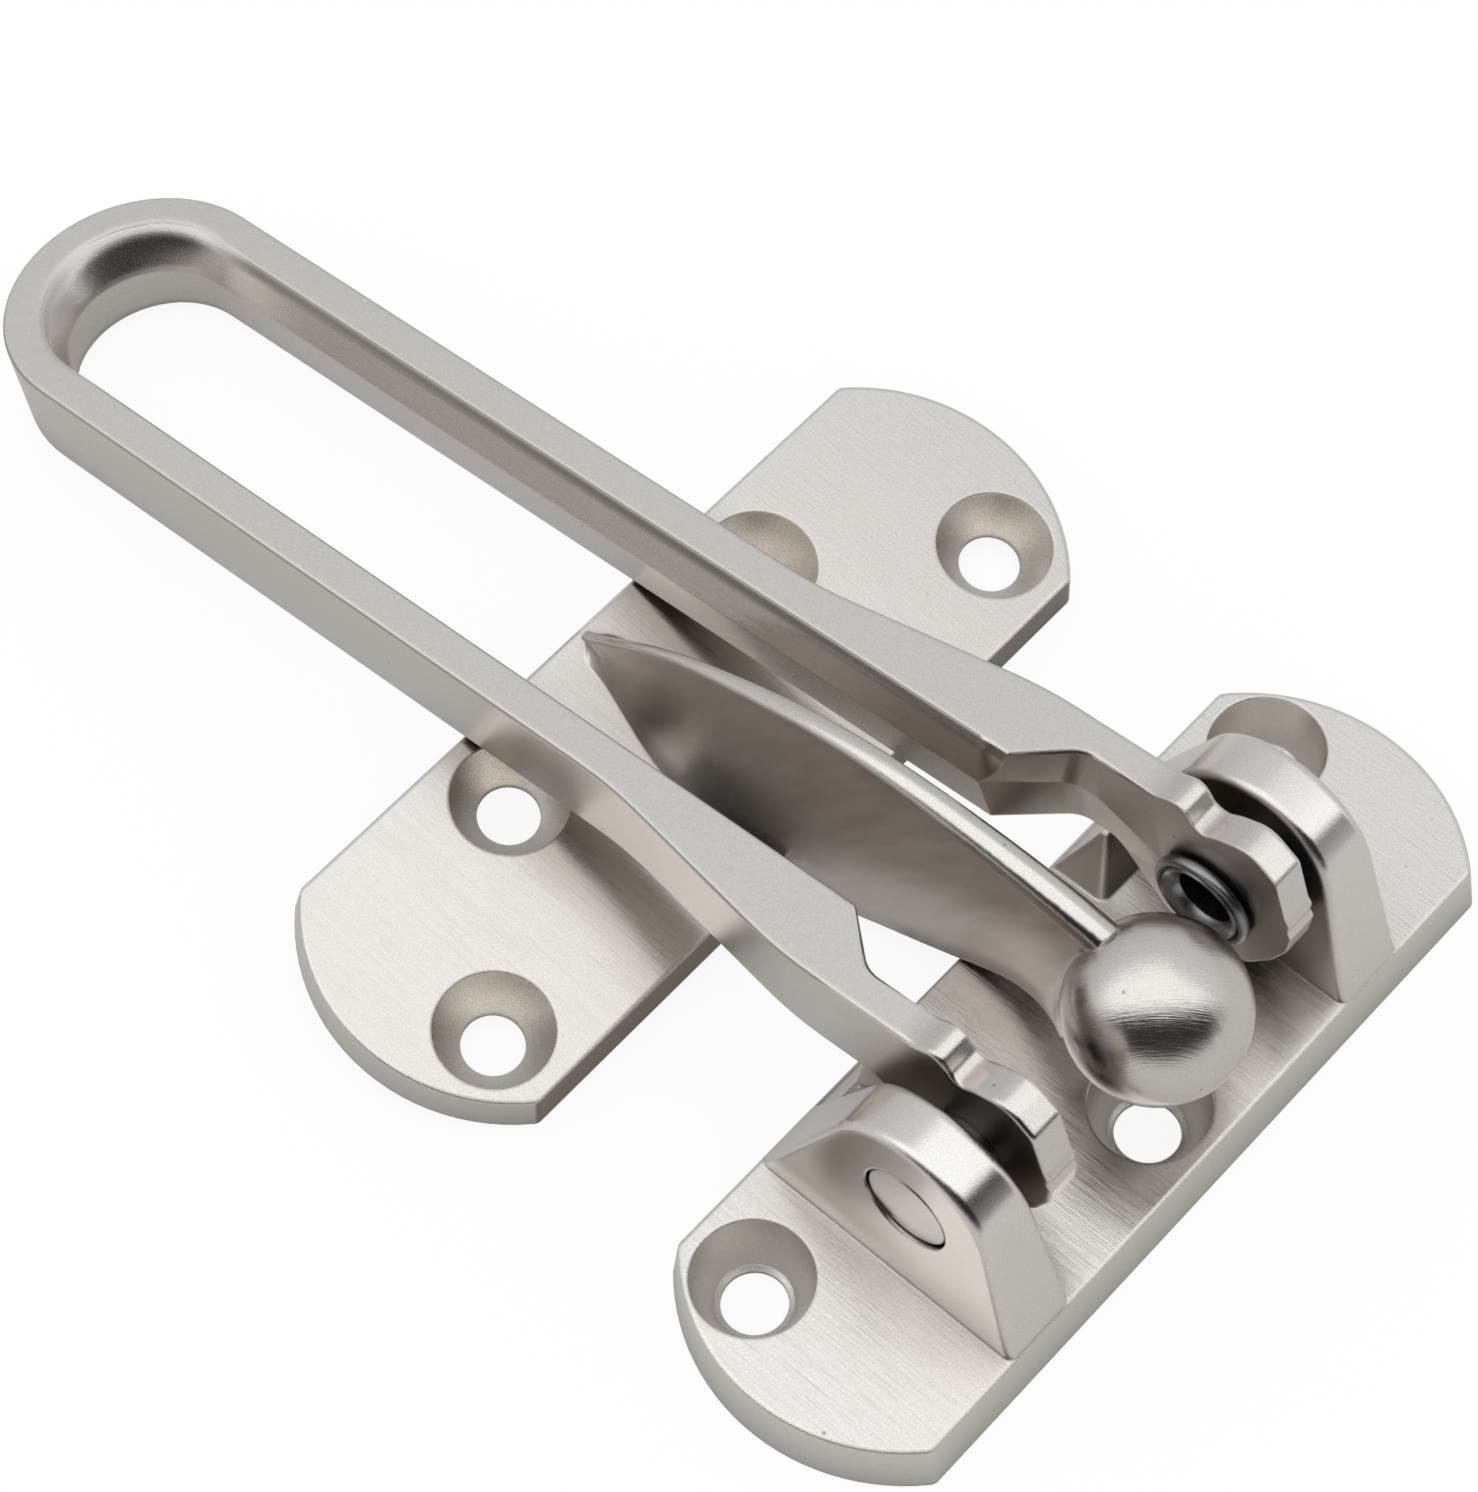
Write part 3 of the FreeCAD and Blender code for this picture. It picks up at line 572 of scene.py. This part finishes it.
def background_rays(tree, straight, mirrored):
    """How white a ray finds the background: seen straight or through glass, and mirrored."""
    path = tree.nodes.new("ShaderNodeLightPath")
    seen = math_node(tree, "ADD", path.outputs["Is Camera Ray"], path.outputs["Is Transmission Ray"],
                     clamp=True)
    glossy = times(tree, path.outputs["Is Glossy Ray"], mirrored)
    return math_node(tree, "MULTIPLY_ADD", seen, straight, glossy, clamp=True)


FLOOR_SIZE = 6.0
FLOOR_Z = -0.0002
FLOOR_GREY = (0.55, 0.55, 0.55, 1)
PAPER_STRENGTH = 1.13
PAPER_SEEN = 0.8
PAPER_MIRRORED = 0.2

bpy.ops.mesh.primitive_plane_add(size=FLOOR_SIZE, location=(0, 0, FLOOR_Z))
floor = bpy.context.object
floor.name = "studio_floor"
floor_white = bpy.data.materials.new("studio white")
floor_white.use_nodes = True
tree = floor_white.node_tree
shader = tree.nodes["Principled BSDF"]
shader.inputs["Base Color"].default_value = FLOOR_GREY
shader.inputs["Roughness"].default_value = 0.9
shader.inputs["Specular IOR Level"].default_value = 0.0
paper = tree.nodes.new("ShaderNodeEmission")
paper.inputs["Color"].default_value = (1, 1, 1, 1)
paper.inputs["Strength"].default_value = PAPER_STRENGTH
blend = tree.nodes.new("ShaderNodeMixShader")
tree.links.new(background_rays(tree, PAPER_SEEN, PAPER_MIRRORED), blend.inputs[0])
tree.links.new(shader.outputs[0], blend.inputs[1])
tree.links.new(paper.outputs[0], blend.inputs[2])
tree.links.new(blend.outputs[0], tree.nodes["Material Output"].inputs["Surface"])
floor.data.materials.append(floor_white)


# Studio: grey walls, a long softbox overhead and a dark flag behind and below the camera.
# The room is only seen mirrored in the metal; the lamp gives the soft shadow on the table.

def arc_between(tree, angle, zero_at, one_at):
    """The ramp of an angle, with its two limits in degrees."""
    return ramp_between(tree, angle, math.radians(zero_at), math.radians(one_at))


PICTURE_TURN = math.radians(45.8)
ROOM_R = 1.5
ROOM_TOP = 89.9
STEPS_ROUND = 48
STEPS_UP = 12
WALL_LOW = (0.47, 0.48, 0.50)
WALL_HIGH = (0.60, 0.615, 0.635)
WALL_RISE = (0.0, 1.2)
PANEL_WHITE = (1.0, 1.02, 1.05)
PANEL_LOWER = (56, 70)
PANEL_UPPER = (123, 116)
PANEL_SIDES = (1.0, 0.82)
PANEL_SLANT_FROM = 0.12
PANEL_SLANT = 0.8
FLAG_DARK = (0.02, 0.02, 0.02)
FLAG_FOOT = (0.13, 0.13, 0.135)
FLAG_FOOT_SPAN = (162, 177)
FLAG_UPPER = (118, 124)
FLAG_SIDES = (1.08, 0.78)
ROOM_GLOW = 1.18

world = bpy.data.worlds.new("studio world")
bpy.context.scene.world = world
world.use_nodes = True
tree = world.node_tree
background = tree.nodes["Background"]
shown = background_rays(tree, 1.0, 1.0)
tree.links.new(varied(tree, shown, least=0.8, growth=0.2), background.inputs["Strength"])
background.inputs["Color"].default_value = (1, 1, 1, 1)

camera_data = bpy.data.cameras.new("photo camera")
camera = bpy.data.objects.new("photo camera", camera_data)
bpy.context.scene.collection.objects.link(camera)
camera.location = (0.091123, -0.122496, 0.303059)
camera.rotation_euler = [math.radians(angle) for angle in (31.0842, 2.1577, 42.2548)]
camera_data.sensor_width = 36
camera_data.lens = 105.66
camera_data.clip_start = 0.01
camera_data.clip_end = 20
bpy.context.scene.camera = camera

points, faces = [], []
for i in range(STEPS_ROUND):
    around = 2 * math.pi * i / STEPS_ROUND
    for j in range(STEPS_UP + 1):
        rise = math.radians(ROOM_TOP * j / STEPS_UP)
        points.append((ROOM_R * math.cos(around) * math.cos(rise), ROOM_R * math.sin(around) * math.cos(rise),
                       ROOM_R * math.sin(rise)))
for i in range(STEPS_ROUND):
    for j in range(STEPS_UP):
        here = i * (STEPS_UP + 1) + j
        there = (i + 1) % STEPS_ROUND * (STEPS_UP + 1) + j
        faces.append((here, there, there + 1, here + 1))
room_mesh = bpy.data.meshes.new("studio_room")
room_mesh.from_pydata(points, [], faces)
room = bpy.data.objects.new("studio_room", room_mesh)
bpy.context.scene.collection.objects.link(room)
room.rotation_euler = (0, 0, PICTURE_TURN)
room.visible_camera = False
room.visible_diffuse = False
room.visible_shadow = False
room.visible_transmission = False

room_paint = bpy.data.materials.new("studio room")
room_paint.use_nodes = True
tree = room_paint.node_tree
tree.nodes.remove(tree.nodes["Principled BSDF"])
coords = tree.nodes.new("ShaderNodeTexCoord")
unit = vector_node(tree, "NORMALIZE", coords.outputs["Object"])
side, away, rise = split(tree, unit.outputs[0])
over = math_node(tree, "ARCTAN2", rise, away)
aside = math_node(tree, "ABSOLUTE", side)
slant = math_node(tree, "MAXIMUM", math_node(tree, "SUBTRACT", side, PANEL_SLANT_FROM), 0.0)
lower_edge = math_node(tree, "MULTIPLY_ADD", slant, -PANEL_SLANT, over)
panel = times(tree, arc_between(tree, lower_edge, *PANEL_LOWER), arc_between(tree, over, *PANEL_UPPER),
              ramp_between(tree, aside, *PANEL_SIDES))
flag = times(tree, arc_between(tree, over, *FLAG_UPPER), ramp_between(tree, aside, *FLAG_SIDES))
tone = mix_colour(tree, ramp_between(tree, over, *WALL_RISE), WALL_LOW, WALL_HIGH)
cloth = mix_colour(tree, arc_between(tree, over, *FLAG_FOOT_SPAN), FLAG_DARK, FLAG_FOOT)
tone = mix_colour(tree, flag, tone, cloth)
tone = mix_colour(tree, panel, tone, PANEL_WHITE)
glow = tree.nodes.new("ShaderNodeEmission")
glow.inputs["Strength"].default_value = ROOM_GLOW
tree.links.new(tone, glow.inputs["Color"])
tree.links.new(glow.outputs[0], tree.nodes["Material Output"].inputs["Surface"])
room_mesh.materials.append(room_paint)

lamp_data = bpy.data.lights.new("overhead softbox", "AREA")
lamp_data.shape = "RECTANGLE"
lamp_data.size = 1.4
lamp_data.size_y = 0.8
lamp_data.energy = 1.2
lamp = bpy.data.objects.new("overhead softbox", lamp_data)
bpy.context.scene.collection.objects.link(lamp)
lamp.location = (-0.04, 0, 0.8)
lamp.rotation_euler = (0, 0, PICTURE_TURN)
lamp.visible_glossy = False

bpy.context.scene.view_settings.view_transform = "Standard"
